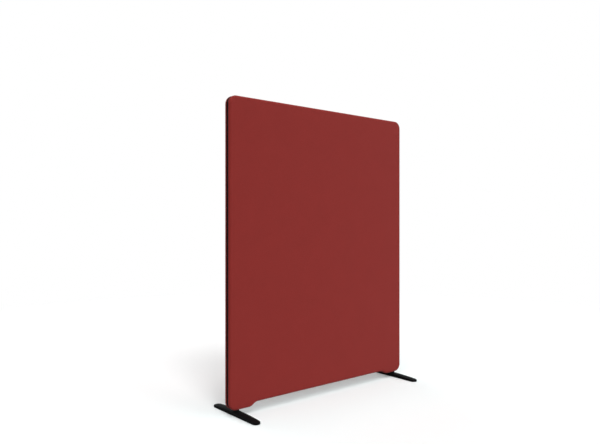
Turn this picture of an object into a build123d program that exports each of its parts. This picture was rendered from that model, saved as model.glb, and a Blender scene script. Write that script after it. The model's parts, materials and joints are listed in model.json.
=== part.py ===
"""Upholstered floor screen: one padded panel in a zipped fabric cover, standing on two flat crowned feet.

X runs along the panel, -Y is the front face, +Z is up. The origin is on the floor under the panel's centre.
All sizes are in millimetres.
"""

import os
from math import acos, degrees, sqrt

from build123d import *

# Panel, overall
panel_width = 1200.0
panel_top = 1500.0
panel_depth = 45.0
corner_radius = 41.0
edge_roll_radius = 10.0

# Lower edge: a leg at each end, an ogee up to the recess between them
leg_height = 28.0
recess_height = 47.0
leg_width = 112.0
ogee_radius = 42.0

# Cover
fabric_thickness = 1.2
hem_width = 4.0
cover_gap = 16.0
soft_ease = 0.3

# Padding
wadding_thickness = 5.0

# Wooden frame and what fills it
member_width = 45.0
leg_block_length = 163.5
leg_block_top = 97.5
mid_rail_centre_share = 0.52
slab_ease = 0.5
tenon_width = 28.0
tenon_thickness = 12.0
tenon_length = 60.0
tenon_ease = 0.05
tenon_end_ease = 1.0

# Zip tapes and chain
tape_thickness = 0.8
tape_ease = 0.1
zip_end_height = 75.0
chain_width = 5.2
chain_thickness = 2.6
chain_meeting_gap = 0.1
tooth_pitch = 2.8
tooth_count = 24
tooth_base_width = 1.9
tooth_base_length = 0.75
tooth_neck_width = 0.95
tooth_head_width = 1.3
tooth_head_length = 0.85
tooth_reach = 0.9
front_teeth_shift_share = 0.8
rear_teeth_shift_share = 0.3
stop_height = 3.0
stop_rise = 2.2
stop_width = 2.6
retainer_height = 7.0
parted_tape_half_gap = 5.5

# Zip slider
slider_length = 12.0
slider_seat_gap = 0.3
slider_narrow_width = 8.0
slider_shoulder_width = 11.5
slider_mouth_width = 5.0
slider_neck_share = 0.75
slider_shoulder_share = 0.45
slider_plate_thickness = 1.2
slider_inner_plate_thickness = 1.0
slider_rim_height = 0.9
slider_edge_radius = 0.8
chain_clearance = 0.3
rim_width = 1.0
post_width = 1.9
post_tip_width = 0.5
post_back_share = 0.1
post_shoulder_share = 0.26
post_tip_share = 0.41
parting = 2.0
split_share = 0.72
fully_parted_share = 0.3

# Slider bridge and pull
hinge_height = 1.2
bridge_inner_radius = 2.1
bridge_outer_radius = 3.3
bridge_width = 2.2
bridge_position_share = 0.6
pull_bar_radius = 0.8
pull_thickness = 1.0
pull_length = 26.0
pull_top_width = 5.8
pull_bottom_width = 7.6
pull_window_width = 3.2
pull_window_length = 4.2
pull_grip_length = 8.0
pull_grip_width = 3.0
pull_edge_radius = 0.3

# Feet
foot_inset = 50.0
foot_length = 360.0
foot_width = 40.0
foot_height = 18.0
foot_end_height = 10.0
foot_rim_height = 1.5
foot_wall = 3.0
foot_edge_bevel = 2.0
foot_boss_radius = 13.0
foot_solid_end = 36.0
foot_rib_thickness = 2.2
foot_rib_drop = 1.5
foot_rib_pitch = 29.0
foot_rib_count = 4
glide_radius = 12.0
glide_seat_depth = 1.2
glide_ease = 0.05

# Foot fixing
spacer_radius = 15.0
pilot_radius = 5.6
gusset_hole_radius = 6.0
bolt_radius = 4.0
bolt_clearance = 0.3
bolt_top = 50.0
bolt_head_radius = 6.5
bolt_head_height = 5.0
bolt_head_room = 1.0
bolt_head_top = 8.0
bolt_socket_radius = 2.9
bolt_socket_depth = 3.0
hexagon_sides = 6
plate_thickness = 3.0
plate_length = 66.0
plate_outer_reach = 13.0
plate_width = 23.0
insert_radius = 6.0
insert_length = 20.0
insert_recess = 0.5
thread_ease = 0.05
screw_radius = 2.0
screw_length = 30.0
screw_head_radius = 4.0
screw_head_height = 2.2
screw_first_offset = 20.0
screw_spacing = 20.0
screw_ease = 0.05

overrun = 5.0

half_width = panel_width / 2
half_depth = panel_depth / 2
half_gap = cover_gap / 2
wadding_inset = fabric_thickness + soft_ease
frame_inset = wadding_inset + wadding_thickness
frame_half_depth = half_depth - frame_inset
tape_inset = 2 * fabric_thickness
tape_outer_edge = half_gap + hem_width
tape_inner_edge = chain_width / 2 + tape_ease
chain_inset = tape_inset + tape_thickness / 2 - chain_thickness / 2
ogee_outer_x = half_width - leg_width
ogee_rise = recess_height - leg_height
ogee_run = sqrt((2 * ogee_radius) ** 2 - (2 * ogee_radius - ogee_rise) ** 2)
ogee_inner_x = ogee_outer_x - ogee_run
stile_inner_x = half_width - frame_inset - member_width
block_inner_x = half_width - frame_inset - leg_block_length
block_bottom = leg_height + frame_inset
top_rail_bottom = panel_top - frame_inset - member_width
mid_rail_centre = panel_top * mid_rail_centre_share
slider_bottom = zip_end_height + stop_rise + stop_height + slider_seat_gap
split_height = slider_bottom + split_share * slider_length
parted_height = slider_bottom + fully_parted_share * slider_length
teeth_start = slider_bottom
teeth_end = teeth_start + (tooth_count + 0.5) * tooth_pitch
foot_x = half_width - foot_inset


def panel_face(inset):
    """The panel's outline drawn in by inset, as a face: round corners above and an ogee beside each leg."""
    right = half_width - inset
    top = panel_top - inset
    corner_x = half_width - corner_radius
    leg_z = leg_height + inset
    recess_z = recess_height + inset
    hollow = ogee_radius + inset
    swell = ogee_radius - inset
    turned = corner_radius - inset
    ogee_turn = degrees(acos((2 * ogee_radius - ogee_rise) / (2 * ogee_radius)))
    edges = []
    for side in (1, -1):
        start = 0 if side > 0 else 180
        lines = [
            CenterArc((side * ogee_inner_x, recess_height - ogee_radius), hollow, 90, -side * ogee_turn),
            CenterArc((side * ogee_outer_x, leg_height + ogee_radius), swell, 270, -side * ogee_turn),
            Line((side * ogee_outer_x, leg_z), (side * corner_x, leg_z)),
            CenterArc((side * corner_x, leg_height + corner_radius), turned, 270, side * 90),
            Line((side * right, leg_height + corner_radius), (side * right, panel_top - corner_radius)),
            CenterArc((side * corner_x, panel_top - corner_radius), turned, start, side * 90),
        ]
        edges += lines
    edges.append(Line((-corner_x, top), (corner_x, top)))
    edges.append(Line((-ogee_inner_x, recess_z), (ogee_inner_x, recess_z)))
    return make_face(edges)


def slab(inset, y_near, y_far):
    """The panel's outline, drawn in by inset, between two depths."""
    return extrude(Plane.XZ.offset(-y_far) * panel_face(inset), y_far - y_near, dir=(0, -1, 0))


def block(x_low, x_high, y_low, y_high, z_low, z_high):
    """A box between six planes."""
    centre = Pos((x_low + x_high) / 2, (y_low + y_high) / 2, (z_low + z_high) / 2)
    return centre * Box(x_high - x_low, y_high - y_low, z_high - z_low)


def rolled_slab(inset, y_near, y_far, radius):
    """A slab whose front edge is rolled over to a radius."""
    body = slab(inset, y_near, y_far)
    return fillet(body.edges().group_by(Axis.Y)[0], radius)


def bevelled_slab(inset, y_near, y_far, size):
    """A slab whose front edge is bevelled at 45 degrees."""
    body = slab(inset, y_near, y_far)
    return chamfer(body.edges().group_by(Axis.Y)[0], size)


def disc(radius, x, y, z_low, z_high):
    """An upright cylinder between two heights."""
    return Pos(x, y, (z_low + z_high) / 2) * Cylinder(radius, z_high - z_low)


def ring_band(inset, thickness, y_near, y_far):
    """A band that follows the panel's whole edge."""
    return slab(inset, y_near, y_far) - slab(inset + thickness, y_near - overrun, y_far + overrun)


def above(height):
    """Everything of the panel above a height."""
    return block(-panel_width, panel_width, -panel_depth, panel_depth, height, 2 * panel_top)


def below(height):
    """Everything of the panel below a height."""
    return block(-panel_width, panel_width, -panel_depth, panel_depth, -panel_top, height)


def front_cover():
    """Fabric face with a rolled edge, lined inside the roll and hemmed where the zip is sewn in."""
    outer = rolled_slab(0, -half_depth, -half_gap, edge_roll_radius)
    inner_bevel = edge_roll_radius - fabric_thickness
    room = bevelled_slab(fabric_thickness, fabric_thickness - half_depth, -tape_outer_edge, inner_bevel)
    hem_room = slab(2 * fabric_thickness, -tape_outer_edge - overrun, -half_gap + overrun)
    hem_room &= block(-panel_width, panel_width, -tape_outer_edge, panel_depth, 0, 2 * panel_top)
    return outer - room - hem_room


def front_wadding():
    """Wadding tray that lies on the frame's face and laps round its edge, pressed to a bevel in the roll."""
    lap_end = -tape_outer_edge - soft_ease
    bevel = edge_roll_radius - wadding_inset
    outer = bevelled_slab(wadding_inset, wadding_inset - half_depth, lap_end, bevel)
    return outer - slab(frame_inset, -frame_half_depth, lap_end + overrun)


def bottom_gusset():
    """Black webbing that closes the lower edge and both lower corners between the zip's ends."""
    band = ring_band(tape_inset, tape_thickness, -tape_outer_edge, tape_outer_edge)
    band &= below(zip_end_height - soft_ease)
    for side in (-1, 1):
        band -= disc(gusset_hole_radius, side * foot_x, 0, 0, leg_height + frame_inset)
    return band


def frame_slab():
    """The frame's outer form, from which its members are cut."""
    return slab(frame_inset, -frame_half_depth, frame_half_depth)


def tenon_places():
    """Every loose tenon as (x, z, whether it lies along X), one to a joint."""
    places = []
    foot_rail_centre = (recess_height + frame_inset + leg_block_top) / 2
    for side in (-1, 1):
        places.append((side * stile_inner_x, top_rail_bottom + member_width / 2, True))
        places.append((side * stile_inner_x, mid_rail_centre, True))
        places.append((side * block_inner_x, foot_rail_centre, True))
        places.append((side * (stile_inner_x + member_width / 2), leg_block_top, False))
    return places


def tenon_set(ease, end_ease):
    """A flat tenon at each joint, made larger by the eases for its mortise."""
    across = tenon_width + 2 * ease
    along = tenon_length + 2 * end_ease
    tenons = []
    for x, z, level in tenon_places():
        width, height = (along, across) if level else (across, along)
        tenons.append(Pos(x, 0, z) * Box(width, tenon_thickness + 2 * ease, height))
    return tenons


def mortised(member):
    """A frame member with its mortises."""
    for mortise in tenon_set(tenon_ease, tenon_end_ease):
        member -= mortise
    return member


def frame_stile(side):
    """Upright at one end, rounded at its top outer corner."""
    low, high = sorted((side * stile_inner_x, side * panel_width))
    return mortised(frame_slab() & block(low, high, -half_depth, half_depth, leg_block_top, 2 * panel_top))


def frame_rail(z_low, z_high, reach):
    """A level member between the uprights."""
    return mortised(block(-reach, reach, -frame_half_depth, frame_half_depth, z_low, z_high))


def leg_block(side):
    """Shaped block at the foot of an upright, with the insert nut's bore and the plate's screw holes."""
    low, high = sorted((side * block_inner_x, side * panel_width))
    body = frame_slab() & block(low, high, -half_depth, half_depth, 0, leg_block_top)
    body -= disc(insert_radius, side * foot_x, 0, block_bottom - overrun, block_bottom + insert_length)
    tip_room = bolt_top + bolt_head_room
    body -= disc(bolt_radius + bolt_clearance, side * foot_x, 0, block_bottom, tip_room)
    for x in screw_places(side):
        body -= disc(screw_radius + screw_ease, x, 0, 0, screw_top() + screw_ease)
    return mortised(body)


def core_slab(z_low, z_high):
    """Sound absorbing board that fills one bay of the frame."""
    reach = stile_inner_x - slab_ease
    return block(-reach, reach, -frame_half_depth, frame_half_depth, z_low, z_high - slab_ease)


def zip_tape():
    """Front tape, sewn under the cover's hem, cut back where the slider is parked."""
    band = ring_band(tape_inset, tape_thickness, -tape_outer_edge, -tape_inner_edge) & above(zip_end_height)
    return band - block(0, panel_width, -parted_tape_half_gap, 0, zip_end_height - overrun, split_height)


def zip_chain():
    """Front half of the closed chain where its teeth aren't drawn one by one."""
    band = ring_band(chain_inset, chain_thickness, -chain_width / 2, -chain_meeting_gap / 2)
    band &= above(zip_end_height + stop_rise + retainer_height + tape_ease)
    return band - block(0, panel_width, -panel_depth, panel_depth, 0, teeth_end)


def tooth_outline():
    """One tooth of the front row in plan: clamped base, narrow neck and wide head past the centre."""
    base = -chain_width / 2
    tip = tooth_reach
    neck_start = base + tooth_base_length
    head_start = tip - tooth_head_length
    half = [
        (base, tooth_base_width / 2),
        (neck_start, tooth_base_width / 2),
        (neck_start, tooth_neck_width / 2),
        (head_start, tooth_neck_width / 2),
        (head_start, tooth_head_width / 2),
        (tip, tooth_head_width / 2),
    ]
    return half + [(v, -u) for v, u in reversed(half)]


def parted(height):
    """How far a row of teeth stands off the centre: nothing when closed, full at the slider's mouths."""
    share = (split_height - height) / (split_height - parted_height)
    share = max(0, min(1, share))
    return parting * share * share * (3 - 2 * share)


def zip_teeth(shift):
    """A row of separate teeth up from the slider, shift pitches above its lower end."""
    tooth = extrude(make_face(Polyline(tooth_outline(), close=True)), chain_thickness, dir=(0, 0, 1))
    face_x = half_width - chain_inset - chain_thickness
    row = []
    for number in range(tooth_count):
        height = teeth_start + (number + shift) * tooth_pitch
        row.append(Plane((face_x, -parted(height), height), x_dir=(0, 1, 0), z_dir=(1, 0, 0)) * tooth)
    return row


def zip_stops():
    """Two stops under the parked slider and the retainer at the chain's other end."""
    outer_x = half_width - chain_inset
    inner_x = outer_x - chain_thickness
    low = zip_end_height + stop_rise
    far = parted_tape_half_gap - tape_ease
    pieces = []
    for near, end in ((far - stop_width, far), (-far, stop_width - far)):
        pieces.append(block(inner_x, outer_x, near, end, low, low + stop_height))
    half = tape_inner_edge - tape_ease
    pieces.append(block(-outer_x, -inner_x, -half, half, low, low + retainer_height))
    return pieces


def slider_plan(share_list, half_width_list):
    """A face symmetric about the chain, from shares of the slider's length and half widths."""
    right = [(v, slider_bottom + s * slider_length) for s, v in zip(share_list, half_width_list)]
    return make_face(Polyline(right + [(-v, u) for v, u in reversed(right)], close=True))


def outward(face, inset, thickness):
    """A plan of the right-hand edge made solid from an inset outwards."""
    return extrude(Plane.YZ.offset(half_width - inset) * face, thickness, dir=(1, 0, 0))


def zip_slider():
    """Cast slider: two plates on a wedge post, rims that guide the teeth, and a bridge for the pull."""
    shoulder = slider_shoulder_width / 2
    narrow = slider_narrow_width / 2
    outline_shares = (0, slider_shoulder_share / 2, slider_shoulder_share, slider_neck_share, 1)
    outline = slider_plan(outline_shares, (slider_mouth_width / 2, shoulder, shoulder, narrow, narrow))
    throat = shoulder - rim_width
    neck = chain_width / 2 + chain_clearance
    throat_shares = (-1, slider_shoulder_share, slider_neck_share, 2)
    channel = slider_plan(throat_shares, (throat, throat, neck, neck))
    post_shares = (post_back_share, post_shoulder_share, post_tip_share)
    post = slider_plan(post_shares, (post_width / 2, post_width / 2, post_tip_width / 2))
    outer_face = chain_inset - chain_clearance
    inner_face = chain_inset + chain_thickness + chain_clearance
    outer_plate = outward(outline, outer_face, slider_plate_thickness)
    outer_plate = fillet(outer_plate.edges().group_by(Axis.X)[-1], slider_edge_radius)
    inner_plate = outward(outline, inner_face + slider_inner_plate_thickness, slider_inner_plate_thickness)
    rims = outward(outline - channel, outer_face + slider_rim_height, slider_rim_height)
    rims += outward(outline - channel, inner_face, slider_rim_height)
    body = outer_plate + inner_plate + rims + outward(post, inner_face, inner_face - outer_face)
    hinge_x, hinge_z = hinge_place()
    bridge = Cylinder(bridge_outer_radius, bridge_width) - Cylinder(bridge_inner_radius, bridge_width)
    bridge = Pos(hinge_x, 0, hinge_z) * Rot(90, 0, 0) * bridge
    foot_of_bridge = hinge_x - hinge_height - tape_ease
    bridge &= block(foot_of_bridge, panel_width, -half_depth, half_depth, 0, panel_top)
    return body + bridge


def hinge_place():
    """Where the pull's bar runs across under the bridge."""
    plate_top = half_width - chain_inset + chain_clearance + slider_plate_thickness
    return plate_top + hinge_height, slider_bottom + bridge_position_share * slider_length


def zip_pull():
    """Flat tapered pull hanging by a round bar under the slider's bridge."""
    hinge_x, hinge_z = hinge_place()
    top = pull_top_width / 2
    bottom = pull_bottom_width / 2
    low = bottom - pull_length
    plan = make_face([
        Line((-top, 0), (top, 0)),
        Line((top, 0), (bottom, low)),
        CenterArc((0, low), bottom, 0, -180),
        Line((-bottom, low), (-top, 0)),
    ])
    window_centre = -pull_window_length / 2
    plan -= Pos(0, window_centre) * Rectangle(pull_window_width, pull_window_length)
    plan -= Pos(0, low) * SlotCenterToCenter(pull_grip_length - pull_grip_width, pull_grip_width, 90)
    frame = Plane((hinge_x - pull_thickness / 2, 0, hinge_z), x_dir=(0, 1, 0), z_dir=(1, 0, 0))
    body = extrude(frame * plan, pull_thickness, dir=(1, 0, 0))
    bar = Pos(hinge_x, 0, hinge_z) * Rot(90, 0, 0) * Cylinder(pull_bar_radius, pull_top_width)
    return body + bar


def crown_height(y, drop):
    """The foot's top height at a distance from its middle, lowered by drop."""
    share = 2 * y / foot_length
    return foot_height - drop - (foot_height - foot_end_height) * share * share


def under_crown(length, width, drop):
    """What lies under the foot's crowned top, lowered by drop, over a length and width."""
    half = foot_length / 2
    low = crown_height(half, drop)
    crown = ThreePointArc((-half, low), (0, crown_height(0, drop)), (half, low))
    ends = Polyline((half, low), (half, 0), (-half, 0), (-half, low))
    profile = extrude(Plane.YZ * make_face([crown, ends]), width / 2, both=True)
    return profile & block(-width, width, -length / 2, length / 2, 0, foot_height)


def foot_ribs():
    """Lengthwise rib and cross ribs under the foot's top, clear of the floor."""
    half = foot_rib_thickness / 2
    low = foot_rim_height + foot_rib_drop
    ribs = block(-half, half, -foot_length / 2, foot_length / 2, low, foot_height)
    for side in (-1, 1):
        for number in range(foot_rib_count):
            y = side * (foot_boss_radius + (number + 1) * foot_rib_pitch)
            ribs += block(-foot_width / 2, foot_width / 2, y - half, y + half, low, foot_height)
    return ribs


def foot():
    """Cast foot: round solid ends, and between them a crowned shell with ribs and a bored middle boss."""
    outline = extrude(SlotOverall(foot_length, foot_width, 90), foot_height, dir=(0, 0, 1))
    outer = outline & under_crown(foot_length, foot_width, 0)
    top_edges = outer.edges().filter_by(GeomType.LINE, reverse=True).group_by(Axis.Z)[-1]
    outer = chamfer(top_edges, foot_edge_bevel)
    hollow = under_crown(foot_length - 2 * foot_solid_end, foot_width - 2 * foot_wall, foot_wall)
    body = outer - (hollow - foot_ribs() - disc(foot_boss_radius, 0, 0, 0, foot_height))
    body -= block(-foot_width, foot_width, -foot_length, foot_length, -overrun, foot_rim_height)
    body -= disc(bolt_radius + bolt_clearance, 0, 0, 0, foot_height + overrun)
    body -= disc(bolt_head_radius + bolt_head_room, 0, 0, 0, bolt_head_top)
    for side in (-1, 1):
        end_y = side * (foot_length - foot_width) / 2
        body -= disc(glide_radius + glide_ease, 0, end_y, 0, foot_rim_height + glide_seat_depth)
    return body


def foot_glide(x, side):
    """Rubber pad under one end of a foot."""
    end_y = side * (foot_length - foot_width) / 2
    return disc(glide_radius, x, end_y, 0, foot_rim_height + glide_seat_depth)


def foot_spacer(side):
    """Round spacer between foot and leg, with a pilot that reaches through the gusset to the plate."""
    x = side * foot_x
    body = disc(spacer_radius, x, 0, foot_height, leg_height)
    body += disc(pilot_radius, x, 0, leg_height - overrun, block_bottom - plate_thickness)
    return body - disc(bolt_radius + bolt_clearance, x, 0, 0, block_bottom)


def foot_plate(side):
    """Steel plate under the leg block, bent up a little where the panel's corner begins."""
    outer_x = foot_x + plate_outer_reach
    low, high = sorted((side * outer_x, side * (outer_x - plate_length)))
    band = ring_band(frame_inset - plate_thickness, plate_thickness, -plate_width / 2, plate_width / 2)
    plate = band & block(low, high, -half_depth, half_depth, 0, leg_block_top)
    plate -= disc(bolt_radius + bolt_clearance, side * foot_x, 0, 0, block_bottom + overrun)
    for x in screw_places(side):
        plate -= disc(screw_radius + screw_ease, x, 0, 0, block_bottom + overrun)
        cone = Cone(screw_head_radius + screw_ease, screw_radius + screw_ease, screw_head_height)
        plate -= Pos(x, 0, block_bottom - plate_thickness + screw_head_height / 2) * cone
    return plate


def screw_places(side):
    """The plate's two screws, on its inner end."""
    return [side * (foot_x - screw_first_offset - number * screw_spacing) for number in range(2)]


def screw_top():
    """Height of the plate screws' ends."""
    return block_bottom - plate_thickness + screw_length


def plate_screw(x):
    """Countersunk wood screw, plain where its thread would be."""
    low = block_bottom - plate_thickness
    head = Pos(x, 0, low + screw_head_height / 2) * Cone(screw_head_radius, screw_radius, screw_head_height)
    body = head + disc(screw_radius, x, 0, low + screw_head_height, screw_top())
    socket = extrude(RegularPolygon(screw_radius / 2, hexagon_sides), screw_head_height / 2)
    return body - Pos(x, 0, low) * socket


def foot_bolt(x):
    """Socket head bolt, up through foot, spacer and plate into the insert nut."""
    body = disc(bolt_radius, x, 0, bolt_head_top, bolt_top)
    body += disc(bolt_head_radius, x, 0, bolt_head_top - bolt_head_height, bolt_head_top)
    socket = extrude(RegularPolygon(bolt_socket_radius, hexagon_sides), bolt_socket_depth)
    return body - Pos(x, 0, bolt_head_top - bolt_head_height) * socket


def insert_nut(x):
    """Threaded sleeve in the leg block."""
    sleeve = disc(insert_radius, x, 0, block_bottom + insert_recess, block_bottom + insert_length)
    return sleeve - disc(bolt_radius + thread_ease, x, 0, 0, panel_top)


def build():
    """Every piece by its node's name."""
    mirrored = Plane.XZ
    parts = {
        "front_cover": front_cover(),
        "front_wadding": front_wadding(),
        "zip_tape_front": zip_tape(),
        "zip_chain_front": zip_chain(),
    }
    for front in list(parts):
        parts[front.replace("front", "rear")] = mirror(parts[front], mirrored)
    parts["bottom_gusset"] = bottom_gusset()
    parts["zip_teeth_front"] = zip_teeth(front_teeth_shift_share)
    parts["zip_teeth_rear"] = [mirror(tooth, mirrored) for tooth in zip_teeth(rear_teeth_shift_share)]
    parts["zip_stops"] = zip_stops()
    parts["zip_slider"] = zip_slider()
    parts["zip_pull"] = zip_pull()
    mid_low = mid_rail_centre - member_width / 2
    mid_high = mid_rail_centre + member_width / 2
    parts["frame_top_rail"] = frame_rail(top_rail_bottom, panel_top - frame_inset, stile_inner_x)
    parts["frame_mid_rail"] = frame_rail(mid_low, mid_high, stile_inner_x)
    parts["frame_bottom_rail"] = frame_rail(recess_height + frame_inset, leg_block_top, block_inner_x)
    parts["frame_tenons"] = tenon_set(0, 0)
    parts["core_slab_upper"] = core_slab(mid_high, top_rail_bottom)
    parts["core_slab_lower"] = core_slab(leg_block_top, mid_low)
    one_foot = foot()
    for name, side in (("left", -1), ("right", 1)):
        parts["frame_stile_" + name] = frame_stile(side)
        parts["leg_block_" + name] = leg_block(side)
        parts["foot_" + name] = Pos(side * foot_x, 0, 0) * one_foot
    both = (-foot_x, foot_x)
    parts["foot_spacers"] = [foot_spacer(side) for side in (-1, 1)]
    parts["foot_plates"] = [foot_plate(side) for side in (-1, 1)]
    parts["foot_glides"] = [foot_glide(x, side) for x in both for side in (-1, 1)]
    parts["foot_bolts"] = [foot_bolt(x) for x in both]
    parts["insert_nuts"] = [insert_nut(x) for x in both]
    parts["plate_screws"] = [plate_screw(x) for side in (-1, 1) for x in screw_places(side)]
    return parts


def write(parts):
    """One STEP file for each piece or group of like pieces."""
    os.makedirs("parts", exist_ok=True)
    for name, shape in parts.items():
        solids = [s for piece in (shape if isinstance(shape, list) else [shape]) for s in piece.solids()]
        export_step(Compound(children=solids) if len(solids) > 1 else solids[0], "parts/" + name + ".step")


write(build())
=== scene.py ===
"""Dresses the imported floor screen: fabric covers, zip, padding, wooden frame, feet and a plain studio.

Lengths are metres in the part's own frame: X along the panel, -Y out of its front, Z up from the floor.
"""

import json
import logging
from dataclasses import dataclass, field
from enum import Enum
from math import acos, pi, radians, sqrt

import bpy
import numpy as np
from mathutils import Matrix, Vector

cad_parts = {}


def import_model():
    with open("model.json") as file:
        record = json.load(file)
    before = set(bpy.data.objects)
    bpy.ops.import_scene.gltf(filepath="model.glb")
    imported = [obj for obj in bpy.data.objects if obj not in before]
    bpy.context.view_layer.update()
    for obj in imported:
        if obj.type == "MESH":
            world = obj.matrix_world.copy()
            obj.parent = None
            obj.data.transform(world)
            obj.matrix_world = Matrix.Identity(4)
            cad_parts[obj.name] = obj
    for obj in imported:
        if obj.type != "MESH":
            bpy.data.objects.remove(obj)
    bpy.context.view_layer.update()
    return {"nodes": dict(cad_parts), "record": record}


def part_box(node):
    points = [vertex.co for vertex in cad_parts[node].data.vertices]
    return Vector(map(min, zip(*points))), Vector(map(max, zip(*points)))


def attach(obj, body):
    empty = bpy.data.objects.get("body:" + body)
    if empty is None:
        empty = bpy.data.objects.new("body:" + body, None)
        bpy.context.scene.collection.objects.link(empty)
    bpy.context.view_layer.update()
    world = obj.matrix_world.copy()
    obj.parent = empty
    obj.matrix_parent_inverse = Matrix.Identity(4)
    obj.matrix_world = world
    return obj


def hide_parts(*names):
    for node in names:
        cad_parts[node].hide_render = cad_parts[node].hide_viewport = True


LOG = logging.getLogger("floor_screen")
MM = 0.001
Array = np.ndarray
Pair = tuple[float, float]
Colour = tuple[float, float, float]
Material = bpy.types.Material
Piece = bpy.types.Object
Socket = bpy.types.NodeSocket
Value = float | Socket


class Face(Enum):
    """The panel's two faces, by the sign of the Y that they look along."""

    FRONT = -1
    REAR = 1

    @property
    def title(self) -> str:
        """The face's word in the names of nodes and pieces."""
        return self.name.lower()


class Grain(Enum):
    """The way a frame member's grain runs, as the scale of its pattern along X, Y and Z."""

    ALONG_X = (0.06, 1.0, 1.0)
    ALONG_Z = (1.0, 1.0, 0.06)


# ---- curves ---------------------------------------------------------------------------------------------------


@dataclass(frozen=True)
class BentLine:
    """A plane curve of stretches, each of one curvature: straight, or an arc to the left (+) or right (-)."""

    start: Pair
    heading: float
    stretches: tuple[Pair, ...]

    @property
    def length(self) -> float:
        """The curve's whole length."""
        return sum(length for length, _ in self.stretches)

    def at(self, run: Array) -> tuple[Array, Array, Array]:
        """Finds places along the curve.

        In a stretch of curvature k, a run u from its start p0 with direction t and left normal n reaches
        p0 + t sin(ku)/k + n (1 - cos(ku))/k, and the direction has turned by ku.

        Args:
            run: Distances from the start, (m,).

        Returns:
            Places, unit directions and unit normals to the left, each (m, 2).
        """
        lengths = np.array([length for length, _ in self.stretches])
        curvature = np.array([bend for _, bend in self.stretches])
        begins = np.concatenate([[0.0], np.cumsum(lengths)[:-1]])
        turns = np.concatenate([[0.0], np.cumsum(lengths * curvature)[:-1]]) + self.heading
        steps = self.reach(lengths, curvature, turns)
        corners = np.cumsum(steps, 0) - steps
        which = np.clip(np.searchsorted(begins, run, side="right") - 1, 0, len(lengths) - 1)
        u = run - begins[which]
        places = np.array(self.start) + corners[which] + self.reach(u, curvature[which], turns[which])
        angle = turns[which] + curvature[which] * u
        directions = np.stack([np.cos(angle), np.sin(angle)], -1)
        return places, directions, np.stack([-directions[:, 1], directions[:, 0]], -1)

    @staticmethod
    def reach(u: Array, curvature: Array, angle: Array) -> Array:
        """Works out how far arcs carry: u sinc(ku) along the start's direction, u sin(ku/2) sinc(ku/2) aside.

        Args:
            u: Lengths of the arcs, (m,).
            curvature: Their curvatures k.
            angle: The directions in which they start.

        Returns:
            Displacements, (m, 2).
        """
        along = u * np.sinc(curvature * u / pi)
        aside = u * np.sin(curvature * u / 2) * np.sinc(curvature * u / 2 / pi)
        return np.stack([
            along * np.cos(angle) - aside * np.sin(angle),
            along * np.sin(angle) + aside * np.cos(angle),
        ], -1)

    def carried(self, run: Array, along: Array, out: Array) -> Array:
        """Carries a small shape to places p along the curve, with direction t and left normal n: p + along t + out n.

        Args:
            run: Distances from the start, (m,).
            along: How far the shape's points lie along the curve, (layers, round) or (layers, 1).
            out: How far they lie out of it, (layers, round).

        Returns:
            Places, (m, layers, round, 2).
        """
        places, directions, normals = (part[:, None, None] for part in self.at(run))
        return places + along[..., None] * directions + out[..., None] * normals


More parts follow.
